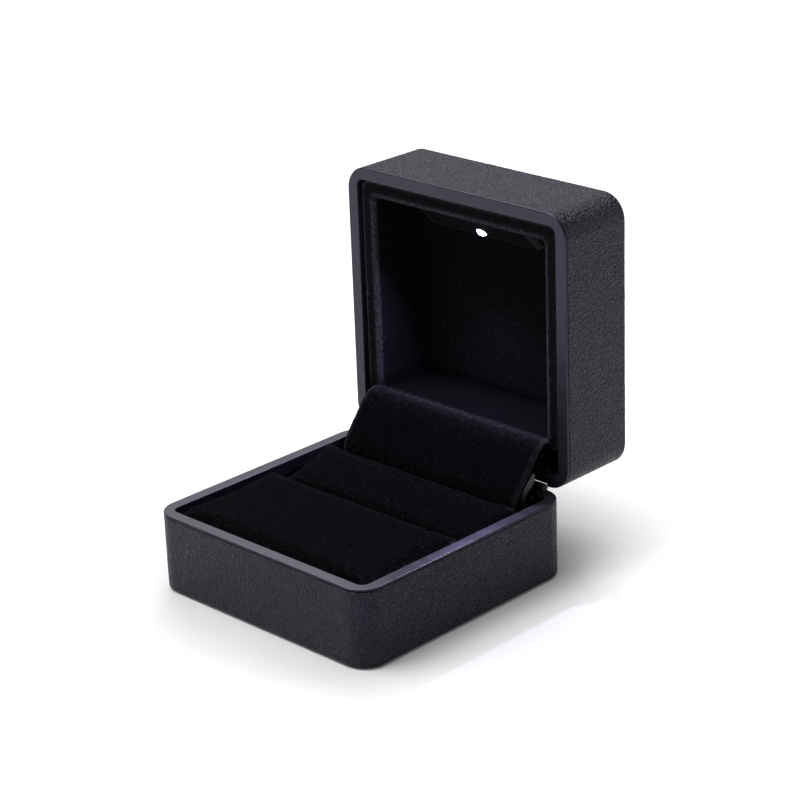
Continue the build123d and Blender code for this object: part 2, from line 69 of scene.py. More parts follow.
WORLD = Matrix.Diagonal((MM, MM, MM, 1))
BASE = Matrix.Translation((0, 0, RIM_FACE)) @ Matrix.Diagonal((MM, MM, -MM, 1))
LID = (Matrix.Translation(HINGE) @ Matrix.Rotation(-OPEN_TURN, 4, "X")
       @ Matrix.Translation((0, -HINGE.y, HINGE.z - RIM_FACE)) @ WORLD)


def node_box(node, place):
    """Lowest and highest corner of a CAD node in the millimetres of that placement."""
    back = place.inverted()
    spread = np.array([back @ vertex.co for vertex in frame["nodes"][node].data.vertices])
    return Vector(spread.min(axis=0)), Vector(spread.max(axis=0))


rim_low, rim_high = node_box("base_rim", BASE)
HALF_X = rim_high.x
HALF_Y = -rim_low.y
CORNER_R = 5.8              # of both halves, seen from above
HINGE_REACH = node_box("hinge_lid_leaf", LID)[1].x

# ---- mesh building ---------------------------------------------------------------------


class Shape:
    """Collects points and faces, then makes one smooth-shaded mesh object."""

    def __init__(self, place):
        self.place = place
        self.points = []
        self.faces = []

    def add(self, points):
        start = len(self.points)
        self.points.extend(tuple(point) for point in points)
        return np.arange(start, len(self.points))

    def band(self, first, second, closed=True):
        count = len(first)
        for index in range(count if closed else count - 1):
            after = (index + 1) % count
            self.faces.append((first[index], first[after], second[after], second[index]))

    def bands(self, rings):
        for first, second in zip(rings, rings[1:]):
            self.band(first, second)

    def plate(self, boundary, grid):
        """Fill a ring of vertices with the inner points of a grid (rows, columns, 3)."""
        rows, columns = grid.shape[:2]
        ids = np.zeros((rows, columns), int)
        ids[1:-1, 1:-1] = self.add(grid[1:-1, 1:-1].reshape(-1, 3)).reshape(rows - 2, columns - 2)
        for vertex, spot in zip(boundary, edge_walk(rows, columns)):
            ids[spot] = vertex
        for row in range(rows - 1):
            self.band(ids[row], ids[row + 1], closed=False)

    def cap(self, ring):
        self.faces.append(tuple(ring))

    def build(self, name):
        mesh = bpy.data.meshes.new(name)
        mesh.from_pydata([self.place @ Vector(point) for point in self.points], [],
                         [tuple(int(corner) for corner in face) for face in self.faces])
        return add_object(name, mesh)


def add_object(name, mesh):
    work = bmesh.new()
    work.from_mesh(mesh)
    bmesh.ops.recalc_face_normals(work, faces=work.faces)
    work.to_mesh(mesh)
    work.free()
    mesh.shade_smooth()
    piece = bpy.data.objects.new(name, mesh)
    bpy.context.scene.collection.objects.link(piece)
    return piece


def edge_walk(rows, columns):
    """Row and column of each boundary point of a grid, in order round it."""
    walk = [(0, column) for column in range(columns - 1)]
    walk += [(row, columns - 1) for row in range(rows - 1)]
    walk += [(rows - 1, column) for column in range(columns - 1, 0, -1)]
    walk += [(row, 0) for row in range(rows - 1, 0, -1)]
    return walk


def side_stations(low, high, radius, straight, corner):
    """For one axis: where each grid line stands, its side, and its share of the corner."""
    share = np.linspace(1, 0, corner + 1)[:-1]
    middle = np.zeros(straight + 1)
    base = np.concatenate([np.full(corner, low + radius),
                           np.linspace(low + radius, high - radius, straight + 1),
                           np.full(corner, high - radius)])
    side = np.concatenate([np.full(corner, -1.0), middle, np.full(corner, 1.0)])
    part = np.concatenate([share, middle, share[::-1]])
    return base, side, part


def rounded_grid(low, high, radius, counts):
    """An even grid over a rounded rectangle, as an array of rows, columns and X-Y."""
    straight_x, straight_y, corner = counts
    base_x, side_x, part_x = side_stations(low[0], high[0], radius, straight_x, corner)
    base_y, side_y, part_y = side_stations(low[1], high[1], radius, straight_y, corner)
    x = base_x + side_x * radius * part_x * np.sqrt(1 - part_y[:, None] ** 2 / 2)
    y = base_y[:, None] + (side_y * part_y)[:, None] * radius * np.sqrt(1 - part_x ** 2 / 2)
    return np.stack([x, y], axis=2)


def rounded_ring(low, high, radius, counts):
    grid = rounded_grid(low, high, radius, counts)
    return np.array([grid[spot] for spot in edge_walk(*grid.shape[:2])])


def with_height(flat, height):
    """Add a height, one number or one per point, to an array of X-Y points."""
    tall = np.broadcast_to(height, flat.shape[:-1])
    return np.concatenate([flat, tall[..., None]], axis=-1)


def push_along_normals(piece, height_of):
    """Move every vertex along its normal by height_of(place), both in millimetres."""
    mesh = piece.data
    normals = [vertex.normal.copy() for vertex in mesh.vertices]
    for vertex, normal in zip(mesh.vertices, normals):
        vertex.co += normal * (height_of(vertex.co / MM) * MM)
    mesh.update()


def thicken(piece, thickness):
    """Give a one-sided sheet its thickness, away from the side its normals face."""
    solid = piece.modifiers.new("thickness", "SOLIDIFY")
    solid.thickness = thickness * MM
    solid.offset = -1


def smooth_step(value, low, high):
    share = np.clip((value - low) / (high - low), 0.0, 1.0)
    return share * share * (3 - 2 * share)


def arc(centre, radius, first, last, count):
    """Points on an arc in a plane, between two angles in degrees."""
    angles = np.radians(np.linspace(first, last, count))
    return [(centre[0] + radius * math.cos(angle), centre[1] + radius * math.sin(angle))
            for angle in angles]


def strip_loop(middle, half_thickness):
    """A closed loop round a line of points in a plane, with round ends."""
    line = np.array(middle)
    run = np.gradient(line, axis=0)
    run /= np.linalg.norm(run, axis=1)[:, None]
    out = np.stack([-run[:, 1], run[:, 0]], axis=1) * half_thickness
    far_end = line[-1] + np.outer([0.7, 1, 0.7], run[-1]) * half_thickness
    far_end += np.outer([0.7, 0, -0.7], out[-1])
    near_end = line[0] - np.outer([0.7, 1, 0.7], run[0]) * half_thickness
    near_end += np.outer([-0.7, 0, 0.7], out[0])
    return np.concatenate([line + out, far_end, (line - out)[::-1], near_end])


def along_x(shape, loop_at, stations):
    """Loft Y-Z loops along X and close both ends."""
    rings = []
    for x in stations:
        loop = np.array(loop_at(x))
        rings.append(shape.add([(x, y, z) for y, z in loop]))
    shape.bands(rings)
    shape.cap(rings[0])
    shape.cap(rings[-1])


# ---- materials -------------------------------------------------------------------------------


class Finish:
    """A node material whose textures are measured in millimetres of the object."""

    def __init__(self, name, colour, roughness, **inputs):
        self.material = bpy.data.materials.new(name)
        self.material.use_nodes = True
        self.tree = self.material.node_tree
        self.shader = self.tree.nodes["Principled BSDF"]
        self.set("Base Color", (*colour, 1))
        self.set("Roughness", roughness)
        for key, value in inputs.items():
            self.set(key.replace("_", " "), value)
        self.place = self.node("ShaderNodeTexCoord").outputs["Object"]

    def set(self, socket, value):
        self.shader.inputs[socket].default_value = value

    def node(self, kind, settings=(), **inputs):
        made = self.tree.nodes.new(kind)
        for key, value in dict(settings).items():
            setattr(made, key, value)
        for key, value in inputs.items():
            self.feed(made.inputs[key.replace("_", " ")], value)
        return made

    def feed(self, socket, value):
        if isinstance(value, bpy.types.NodeSocket):
            self.tree.links.new(value, socket)
        else:
            socket.default_value = value

    def drive(self, socket, output):
        self.tree.links.new(output, self.shader.inputs[socket])

    def spread(self, stretch=(1, 1, 1), warp=0.0):
        """Object coordinates in millimetres, stretched and shaken by a slow noise."""
        scale = tuple(1 / (MM * share) for share in stretch)
        mapped = self.node("ShaderNodeMapping", Vector=self.place, Scale=scale).outputs["Vector"]
        if not warp:
            return mapped
        shake = self.node("ShaderNodeTexNoise", Vector=mapped, Scale=0.6, Detail=2.0)
        grown = self.node("ShaderNodeVectorMath", {"operation": "SCALE"}, Vector=shake.outputs["Color"],
                          Scale=warp)
        return self.add_vectors(mapped, grown.outputs["Vector"])

    def add_vectors(self, first, second):
        total = self.node("ShaderNodeVectorMath", {"operation": "ADD"})
        self.tree.links.new(first, total.inputs[0])
        self.tree.links.new(second, total.inputs[1])
        return total.outputs["Vector"]

    def noise(self, per_mm, detail=3.0, stretch=(1, 1, 1)):
        made = self.node("ShaderNodeTexNoise", Vector=self.spread(stretch), Scale=per_mm, Detail=detail)
        return made.outputs["Fac"]

    def creases(self, per_mm, warp=0.8, stretch=(1, 1, 1)):
        """Distance from the nearest border between cells."""
        made = self.node("ShaderNodeTexVoronoi", {"feature": "DISTANCE_TO_EDGE"},
                         Vector=self.spread(stretch, warp), Scale=per_mm)
        return made.outputs["Distance"]

    def remap(self, value, low, high, new_low, new_high):
        made = self.node("ShaderNodeMapRange", {"interpolation_type": "SMOOTHSTEP"}, Value=value,
                         From_Min=low, From_Max=high, To_Min=new_low, To_Max=new_high)
        return made.outputs["Result"]

    def sum(self, first, second, share):
        """first + second * share"""
        made = self.node("ShaderNodeMath", {"operation": "MULTIPLY_ADD"})
        self.tree.links.new(second, made.inputs[0])
        made.inputs[1].default_value = share
        self.tree.links.new(first, made.inputs[2])
        return made.outputs["Value"]

    def blend(self, factor, low_colour, high_colour, low=0.3, high=0.7):
        ramp = self.node("ShaderNodeValToRGB", Fac=factor)
        for element, position, colour in zip(ramp.color_ramp.elements, (low, high),
                                             (low_colour, high_colour)):
            element.position = position
            element.color = (*colour, 1)
        return ramp.outputs["Color"]

    def mix(self, share, first, second):
        """first where share is 0 and second where it is 1."""
        made = self.node("ShaderNodeMix", {"data_type": "RGBA"})
        sockets = {socket.identifier: socket for socket in made.inputs}
        self.tree.links.new(share, sockets["Factor_Float"])
        self.tree.links.new(first, sockets["A_Color"])
        self.tree.links.new(second, sockets["B_Color"])
        return next(socket for socket in made.outputs if socket.identifier == "Result_Color")

    def bump(self, height, depth_mm, strength=1.0):
        made = self.node("ShaderNodeBump", Height=height, Distance=depth_mm * MM, Strength=strength)
        self.drive("Normal", made.outputs["Normal"])


def leatherette():
    skin = Finish("leatherette", (0.003, 0.003, 0.004), 0.5, Specular_IOR_Level=0.38)
    skin.set("Specular Tint", (0.74, 0.68, 1.0, 1))
    pebbles = skin.remap(skin.creases(1.3), 0.0, 0.3, 0, 1)
    wrinkles = skin.remap(skin.creases(0.7, 1.2), 0.0, 0.16, 0, 1)
    pores = skin.noise(5.0, 2.0)
    height = skin.sum(skin.sum(pebbles, wrinkles, 0.6), pores, 0.5)
    skin.bump(height, 0.18)
    skin.drive("Roughness", skin.remap(height, 0.6, 1.9, 0.50, 0.34))
    skin.drive("Base Color", skin.blend(height, (0.001, 0.001, 0.002), (0.003, 0.003, 0.005), 0.5, 1.0))
    return skin.material


LID_PAINTED_LIGHT_Z = 29 * MM        # painted light: above this height, with the lid open, the velvet is a paler, lit copy
LID_PAINTED_LIGHT_BLEND = 4 * MM


def velvet():
    """A short pile, with painted light: a paler, lit copy in the lid, and a painted highlight wherever a bend
    splays its fibres.
    """
    pile = Finish("velvet", (0.003, 0.003, 0.004), 0.95, Sheen_Roughness=0.3, Specular_IOR_Level=0.02)
    pile.set("Sheen Tint", (0.80, 0.80, 1.0, 1))
    fibres = pile.noise(3.2, 4.0)
    lay = pile.noise(0.10, 3.0, (1, 2.2, 1))
    bent = pile.node("ShaderNodeNewGeometry").outputs["Pointiness"]
    # painted highlight: a convex bend, where the pile splays, gets a paler colour and more sheen
    bend_highlight = pile.remap(pile.sum(bent, fibres, 0.06), 0.53, 0.58, 0, 1)
    catch = pile.sum(pile.remap(fibres, 0.35, 0.75, 0.001, 0.012), pile.remap(lay, 0.35, 0.7, 0, 1), 0.004)
    pile.drive("Sheen Weight", pile.sum(catch, bend_highlight, 0.05))
    dark = pile.blend(bend_highlight, (0.0007, 0.0007, 0.0011), (0.016, 0.016, 0.020), 0.0, 1.0)
    painted_lit_tone = pile.blend(bend_highlight, (0.0038, 0.0040, 0.0050), (0.050, 0.050, 0.060), 0.0, 1.0)
    height = pile.node("ShaderNodeSeparateXYZ", Vector=pile.place).outputs["Z"]
    # painted light: the velvet of the open lid is blended to its paler, lit copy
    lid_painted_light = pile.remap(height, LID_PAINTED_LIGHT_Z, LID_PAINTED_LIGHT_Z + LID_PAINTED_LIGHT_BLEND, 0, 1)
    pile.drive("Base Color", pile.mix(lid_painted_light, dark, painted_lit_tone))
    pile.bump(fibres, 0.25, 0.8)
    return pile.material


def rim_plastic():
    satin = Finish("rim_plastic", (0.009, 0.0085, 0.012), 0.34, Specular_IOR_Level=0.4)
    satin.set("Specular Tint", (0.76, 0.70, 1.0, 1))
    cloud = satin.noise(0.35, 4.0)
    grain = satin.noise(9.0, 2.0)
    satin.drive("Roughness", satin.remap(cloud, 0.3, 0.7, 0.30, 0.36))
    satin.drive("Base Color", satin.blend(cloud, (0.006, 0.006, 0.009), (0.012, 0.011, 0.015)))
    satin.bump(grain, 0.002)
    return satin.material


def moulded(name, dark, light):
    """Moulded plastic with a spark-eroded face."""
    plastic = Finish(name, dark, 0.5)
    grain = plastic.noise(4.0, 3.0)
    plastic.drive("Roughness", plastic.remap(grain, 0.3, 0.7, 0.42, 0.62))
    plastic.drive("Base Color", plastic.blend(plastic.noise(0.2, 3.0), dark, light))
    plastic.bump(grain, 0.02)
    return plastic.material


def metal(name, dark, light, roughness, brushed=(1, 1, 1)):
    """Plated or rolled metal, brushed along the axis with the largest stretch."""
    sheet = Finish(name, light, roughness, Metallic=1.0)
    brush = sheet.noise(5.0, 3.0, brushed)
    stain = sheet.noise(0.4, 4.0)
    sheet.drive("Roughness", sheet.remap(brush, 0.3, 0.7, roughness - 0.08, roughness + 0.1))
    sheet.drive("Base Color", sheet.blend(stain, dark, light))
    sheet.bump(brush, 0.006)
    return sheet.material


def fibrous(name, dark, light, per_mm, depth):
    """Card, paper or foam: matt, with an open or fibrous face."""
    stock = Finish(name, light, 0.92, Specular_IOR_Level=0.2)
    fibres = stock.noise(per_mm, 4.0, (1, 2.5, 1))
    stock.drive("Base Color", stock.blend(fibres, dark, light))
    stock.bump(fibres, depth)
    return stock.material


def wire_coat(name, dark, light):
    coat = Finish(name, light, 0.38)
    print_marks = coat.noise(1.2, 3.0)
    coat.drive("Base Color", coat.blend(print_marks, dark, light))
    coat.drive("Roughness", coat.remap(print_marks, 0.3, 0.7, 0.32, 0.48))
    coat.bump(coat.noise(6.0), 0.01)
    return coat.material


def led_epoxy():
    """A clear lamp body, lit, whiter in the middle and violet toward its edge."""
    lens = Finish("led_epoxy", (0.9, 0.9, 1.0), 0.12)
    facing = lens.node("ShaderNodeLayerWeight", Blend=0.4).outputs["Facing"]
    glow = lens.blend(facing, (1.0, 0.98, 1.0), (0.35, 0.28, 1.0), 0.35, 0.95)
    lens.drive("Emission Color", glow)
    lens.drive("Emission Strength", lens.remap(lens.noise(1.5), 0.3, 0.7, 9.0, 12.0))
    return lens.material


def circuit_board():
    board = Finish("circuit_board", (0.02, 0.12, 0.05), 0.45)
    tracks = board.remap(board.creases(0.6, 0.2), 0.05, 0.1, 0, 1)
    board.drive("Base Color", board.blend(tracks, (0.05, 0.22, 0.09), (0.015, 0.10, 0.04), 0.2, 0.6))
    board.bump(tracks, 0.02)
    return board.material


FINISHES = {
    "leatherette": leatherette,
    "velvet": velvet,
    "rim_plastic": rim_plastic,
    "shell_plastic": lambda: moulded("shell_plastic", (0.02, 0.02, 0.022), (0.035, 0.035, 0.038)),
    "switch_plastic": lambda: moulded("switch_plastic", (0.03, 0.03, 0.03), (0.05, 0.05, 0.05)),
    "plunger_plastic": lambda: moulded("plunger_plastic", (0.55, 0.54, 0.5), (0.7, 0.69, 0.65)),
    "foam": lambda: fibrous("foam", (0.08, 0.08, 0.09), (0.16, 0.16, 0.17), 2.0, 0.3),
    "card": lambda: fibrous("card", (0.14, 0.12, 0.10), (0.24, 0.21, 0.18), 3.0, 0.05),
    "paper": lambda: fibrous("paper", (0.015, 0.015, 0.017), (0.035, 0.034, 0.037), 3.5, 0.03),
    "hinge_steel": lambda: metal("hinge_steel", (0.06, 0.06, 0.07), (0.11, 0.11, 0.12), 0.55, (12, 1, 1)),
    "screw_steel": lambda: metal("screw_steel", (0.16, 0.16, 0.16), (0.26, 0.26, 0.26), 0.40),
    "tinned_wire": lambda: metal("tinned_wire", (0.6, 0.6, 0.6), (0.8, 0.8, 0.79), 0.25),
    "cell_steel": lambda: metal("cell_steel", (0.55, 0.55, 0.54), (0.75, 0.75, 0.74), 0.22),
    "contact_brass": lambda: metal("contact_brass", (0.55, 0.40, 0.16), (0.78, 0.60, 0.28), 0.3, (8, 1, 1)),
    "led_epoxy": led_epoxy,
    "circuit_board": circuit_board,
    "resistor_ceramic": lambda: moulded("resistor_ceramic", (0.02, 0.02, 0.02), (0.06, 0.06, 0.06)),
    "wire_red": lambda: wire_coat("wire_red", (0.30, 0.01, 0.01), (0.48, 0.02, 0.015)),
    "wire_black": lambda: wire_coat("wire_black", (0.012, 0.012, 0.012), (0.03, 0.03, 0.03)),
}
made_finishes = {}


def finish_for(slot_name):
    if slot_name not in made_finishes:
        made_finishes[slot_name] = FINISHES[slot_name]()
    return made_finishes[slot_name]


def finish_piece(piece, body, slot_name, *nodes):
    piece.data.materials.append(finish_for(slot_name))
    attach(piece, body)
    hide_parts(*nodes)


def finish_cad_nodes():
    for part in frame["record"]["subparts"]:
        mesh = frame["nodes"][part["node"]].data
        mesh.materials.clear()
        mesh.materials.append(finish_for(part["material_slot"]))


# ---- leatherette -------------------------------------------------------------------------

WRAP_CELL = 0.42            # spacing of the mesh that carries the grain
SKIN = 0.6
GRAIN_SIZE = 1.2
GRAIN_DEPTH = 0.05
SKIN_START = 0.55           # rim face to the leatherette's turned edge
HINGE_START = 1.6           # the same, where the hinge leaf passes
NOTCH_CLEAR = 0.5           # the lower stretch reaches this far past the hinge leaf
NOTCH_END = 1.3             # and the edge is back at its height here
TURN_R = 0.25
OUTER_EDGE_R = 0.55
HEM = 5.0                   # how far the leatherette is turned in under the base


def leather_height(spot):
    """Pebbled cells with sunken creases, over a slow swell."""
    warped = Vector((spot.x, spot.y, spot.z * 0.8)) / GRAIN_SIZE + noise.noise_vector(spot * 0.45) * 0.45
    near, second = noise.voronoi(warped)[0][:2]
    crease = math.exp(-((second - near) / 0.24) ** 2)
    patch = 0.6 + 0.4 * noise.noise(spot * 0.08)
    return -GRAIN_DEPTH * patch * crease + 0.03 * noise.noise(spot * 0.22)


def wrap_outline(inset):
    straight = round((2 * HALF_X - 2 * CORNER_R) / WRAP_CELL)
    corner = round(CORNER_R * math.pi / 4 / WRAP_CELL)
    low = (-HALF_X + inset, -HALF_Y + inset)
    high = (HALF_X - inset, HALF_Y - inset)
    return low, high, CORNER_R - inset, (straight, straight, corner)


def wrap_ring(inset, height):
    return with_height(rounded_ring(*wrap_outline(inset)), height)


def skin_start():
    """Where the leatherette begins under the rim: lower where the hinge leaf passes."""
    ring = wrap_ring(0, 0)
    at_hinge = 1 - smooth_step(np.abs(ring[:, 0]), HINGE_REACH + NOTCH_CLEAR, HINGE_REACH + NOTCH_END)
    at_back = smooth_step(ring[:, 1], HALF_Y - CORNER_R, HALF_Y - CORNER_R + 0.5)
    return SKIN_START + (HINGE_START - SKIN_START) * at_hinge * at_back


def wrap_wall(shape, height):
    """The turned edge and the wall of a leatherette wrap, down to its outer edge."""
    start = skin_start()
    turned = [(SKIN, 0.1), (SKIN - 0.1, 0)] + arc((TURN_R, TURN_R), TURN_R, 270, 180, 4)
    rings = [shape.add(wrap_ring(inset, start + up)) for inset, up in turned]
    top = start + TURN_R
    wall_end = height - OUTER_EDGE_R
    rows = round((wall_end - SKIN_START) / WRAP_CELL)
    for row in range(1, rows + 1):
        rings.append(shape.add(wrap_ring(0, top + (wall_end - top) * row / rows)))
    for inset, up in arc((OUTER_EDGE_R, wall_end), OUTER_EDGE_R, 180, 90, 5)[1:]:
        rings.append(shape.add(wrap_ring(inset, up)))
    shape.bands(rings)
    return rings[0], rings[-1]


def lid_wrap(height):
    shape = Shape(LID)
    first, last = wrap_wall(shape, height)
    shape.plate(last, with_height(rounded_grid(*wrap_outline(OUTER_EDGE_R)), height))
    inside = shape.add(wrap_ring(SKIN, height - SKIN))
    shape.band(first, inside)
    shape.cap(inside)
    return shape.build("lid_leather_wrap")


def base_wrap(height):
    shape = Shape(BASE)
    first, last = wrap_wall(shape, height)
    hem = [(HEM * 0.3, height), (HEM * 0.65, height), (HEM, height), (HEM, height - SKIN),
           (SKIN, height - SKIN)]
    loop = [last] + [shape.add(wrap_ring(inset, up)) for inset, up in hem] + [first]
    shape.bands(loop)
    return shape.build("base_leather_wrap")


def make_wraps():
    for build, place, body, node in ((base_wrap, BASE, "base", "base_leatherette"),
                                     (lid_wrap, LID, "lid", "lid_leatherette")):
        wrap = build(node_box(node, place)[1].z)
        push_along_normals(wrap, leather_height)
        finish_piece(wrap, body, "leatherette", node)


# ---- velvet in the lid ---------------------------------------------------------------------------

PILE = 0.07                 # unevenness of the pile
VELVET_CELL = 0.5
LIP_REACH = 4.0             # width of the tray's lip
BACK_LIP = 2.2              # the same, along the hinge
LIP_ROLL = 1.1              # rounded inner edge of the lip
LIP_EDGE_R = 0.3            # rounded outer edge of the lip
PANEL_R = 0.8
LINER_T = 0.7
LAMP_EDGE_R = 1.2
LAMP_END_R = 1.6


def pile_height(spot):
    return PILE * (noise.noise(spot * 2.6) + 0.5 * noise.noise(spot * 0.9))


def padded_lip(lip):
    """Outward distance and height across the tray's lip, from its rolled edge to the rim."""
    roll = arc((LIP_ROLL, lip + LIP_ROLL), LIP_ROLL, 180, 270, 6)
    flat = [(across, lip + 0.1 * math.sqrt(across - LIP_ROLL)) for across in np.arange(1.6, 3.7, 0.45)]
    edge = arc((LIP_REACH - LIP_EDGE_R, lip + 0.5), LIP_EDGE_R, 300, 360, 3)
    return roll + flat + edge


def make_lining():
    """The velvet-faced tray in the lid, with a padded lip that is narrower along the hinge."""
    tray_low, tray_high = node_box("lid_liner", LID)
    reach_x = tray_high.x - LIP_REACH
    front = tray_low.y + LIP_REACH
    back = tray_high.y - LINER_T
    panel = tray_high.z - LINER_T
    counts = (round(2 * reach_x / VELVET_CELL), round((back - front) / VELVET_CELL), 4)

    def outline(across):
        low = (-reach_x - across, front - across)
        high = (reach_x + across, back + across * BACK_LIP / LIP_REACH)
        return low, high, 1.3 + 0.3 * across, counts

    shape = Shape(LID)
    corner = arc((-PANEL_R, panel - PANEL_R), PANEL_R, 90, 0, 4)
    wall = [(0, height) for height in np.arange(panel - PANEL_R - VELVET_CELL,
                                                tray_low.z + LIP_ROLL, -VELVET_CELL)]
    rings = [shape.add(with_height(rounded_ring(*outline(across)), height))
             for across, height in corner + wall + padded_lip(tray_low.z)]
    shape.bands(rings)
    shape.plate(rings[0], with_height(rounded_grid(*outline(-PANEL_R)), panel))
    lining = shape.build("lid_velvet_lining")
    face_inward(lining)
    push_along_normals(lining, pile_height)
    thicken(lining, LINER_T - 0.1)
    finish_piece(lining, "lid", "velvet", "lid_liner")


def face_inward(sheet):
    """Make the normals of a tray point into its hollow."""
    middle = sum((vertex.co for vertex in sheet.data.vertices), Vector()) / len(sheet.data.vertices)
    into_hollow = LID.to_3x3() @ Vector((0, 0, -1))
    panel = max(sheet.data.polygons, key=lambda face: (middle - face.center).dot(into_hollow))
    if panel.normal.dot(into_hollow) < 0:
        sheet.data.flip_normals()


def lamp_loop(low, high, inset):
    """The lamp's section: slope, rounded edge, lower face, then back inside the wall."""
    lift = inset * math.sqrt(2)
    reach = high.y - inset
    edge_height = low.z + lift + reach - low.y
    tangent = LAMP_EDGE_R * math.tan(math.radians(22.5))
    slope_end = (reach - tangent * math.sqrt(0.5), edge_height - tangent * math.sqrt(0.5))
    slope_start = (low.y, low.z + lift)
    slope = list(zip(np.linspace(slope_start[0], slope_end[0], 18)[:-1],
                     np.linspace(slope_start[1], slope_end[1], 18)[:-1]))
    corner = arc((reach - LAMP_EDGE_R, edge_height + tangent), LAMP_EDGE_R, -45, 0, 4)
    lower = [(reach, height) for height in np.linspace(edge_height + tangent, high.z, 9)[1:]]
    hidden = low.y - 0.3
    return slope + corner + lower + [(hidden, high.z), (hidden, low.z + lift)]


def make_lamp_cover():
    low, high = node_box("lamp_cover", LID)
    shape = Shape(LID)
    ends = arc((high.x - LAMP_END_R, 0), LAMP_END_R, 90, 0, 6)
    flat = np.linspace(-ends[0][0], ends[0][0], round(2 * ends[0][0] / VELVET_CELL) + 1)
    insets = [(-x, LAMP_END_R - up) for x, up in ends[:0:-1]]
    insets += [(x, 0.0) for x in flat]
    insets += [(x, LAMP_END_R - up) for x, up in ends[1:]]
    by_station = dict(insets)
    along_x(shape, lambda x: lamp_loop(low, high, by_station[x]), list(by_station))
    cover = shape.build("lamp_velvet_cover")
    push_along_normals(cover, pile_height)
    finish_piece(cover, "lid", "velvet", "lamp_cover")


# ---- flap over the hinge ---------------------------------------------------------------------------

FLAP_LINE = ((33.8, 29.4), (33.0, 30.2), (31.4, 29.9), (29.9, 28.9), (28.2, 27.1), (26.4, 24.8),
             (24.4, 22.4), (22.7, 20.2), (21.9, 18.4), (21.8, 16.4))   # Y and Z of its middle
FLAP_HALF_T = 0.55
FLAP_END_R = 1.2
FLAP_SAG = 0.25


def smooth_line(points, count):
    """An evenly spaced line through a few points, with its corners eased."""
    line = np.array(points)
    travelled = np.concatenate([[0], np.cumsum(np.linalg.norm(np.diff(line, axis=0), axis=1))])
    places = np.linspace(0, travelled[-1], count)
    line = np.stack([np.interp(places, travelled, line[:, axis]) for axis in (0, 1)], axis=1)
    for _ in range(count // 6):
        line[1:-1] = (line[:-2] + 2 * line[1:-1] + line[2:]) / 4
    return line


def make_flap():
    """A velvet-covered card that hangs from the lid's tray and hides the hinge."""
    high_x = node_box("flap_velvet", WORLD)[1].x
    middle = smooth_line(FLAP_LINE, 44)
    forward = np.sin(np.linspace(0, math.pi, len(middle)))

    def loop(x):
        inset = max(0.0, abs(x) - (high_x - FLAP_END_R)) / FLAP_END_R
        half = FLAP_HALF_T * math.sqrt(max(1 - inset ** 2, 0.06))
        sag = FLAP_SAG * noise.noise(Vector((x * 0.07, 3.1, 0)))
        return strip_loop(middle - np.outer(forward * sag, (0.7, -0.7)), half)

    shape = Shape(WORLD)
    edge = [high_x - FLAP_END_R * (1 - math.sin(angle)) for angle in np.linspace(0, math.pi / 2, 5)]
    flat = np.linspace(-edge[0], edge[0], round(2 * edge[0] / VELVET_CELL) + 1)
    along_x(shape, loop, [-x for x in edge[:0:-1]] + list(flat) + edge[1:])
    flap = shape.build("flap_velvet_sheet")
    push_along_normals(flap, pile_height)
    finish_piece(flap, "flap", "velvet", "flap_velvet", "flap_card")


# ---- pads in the base -----------------------------------------------------------------------------

CLOTH_SCALE = 10            # cloth is simulated at the size of a seat cushion
VOXEL = 1.2                 # cell of the mesh that swells
PAD_SHRINK = 0.4            # at front and back it starts inside the CAD cover, because it swells
PAD_LIFT = 0.8              # its top starts this much above the CAD cover
PAD_CROWN = 0.4             # and its middle is this much higher than its ends
PAD_END = 0.95              # share of its half-length beyond which the top falls away
PAD_END_DROP = 0.1
PAD_OVERHANG = 0.5          # it starts longer than the CAD cover by this at each end
PAD_CAP = 0.9               # how far a point may move in the simulation
PADS = (                    # name, cover, foam, fall toward the front, front and back edge radius
    ("front_pad_cushion", "front_pad_velvet", "front_pad_foam", 0.4, 3.0, 1.0),
    ("rear_pad_cushion", "rear_pad_velvet", "rear_pad_foam", 4.0, 1.6, 1.4),
)
CLOTH_FRAMES = 20


def pad_start(name, low, high, front_drop, front_r, back_r):
    """The pad before it swells: a crowned block that is flat underneath."""
    half_x = high.x + PAD_OVERHANG
    front = low.y + PAD_SHRINK
    back = high.y - PAD_SHRINK

    def loop(x):
        share = abs(x) / half_x
        crown = PAD_CROWN * (1 - share ** 4)
        end_drop = PAD_END_DROP * max(0.0, share - PAD_END) / (1 - PAD_END)
        top_back = high.z + PAD_LIFT + crown - end_drop
        top_front = top_back - front_drop
        outline = [(front, low.z), (back, low.z)]
        outline += arc((back - back_r, top_back - back_r), back_r, 0, 80, 5)
        outline += arc((front + front_r, top_front - front_r), front_r, 100, 180, 6)
        return outline

    shape = Shape(Matrix.Diagonal((MM * CLOTH_SCALE,) * 3 + (1,)))
    along_x(shape, loop, np.linspace(-half_x, half_x, 59))
    return shape.build(name)


def applied(piece):
    """The piece's mesh with its modifiers in it."""
    graph = bpy.context.evaluated_depsgraph_get()
    mesh = bpy.data.meshes.new_from_object(piece.evaluated_get(graph))
    piece.modifiers.clear()
    piece.data = mesh


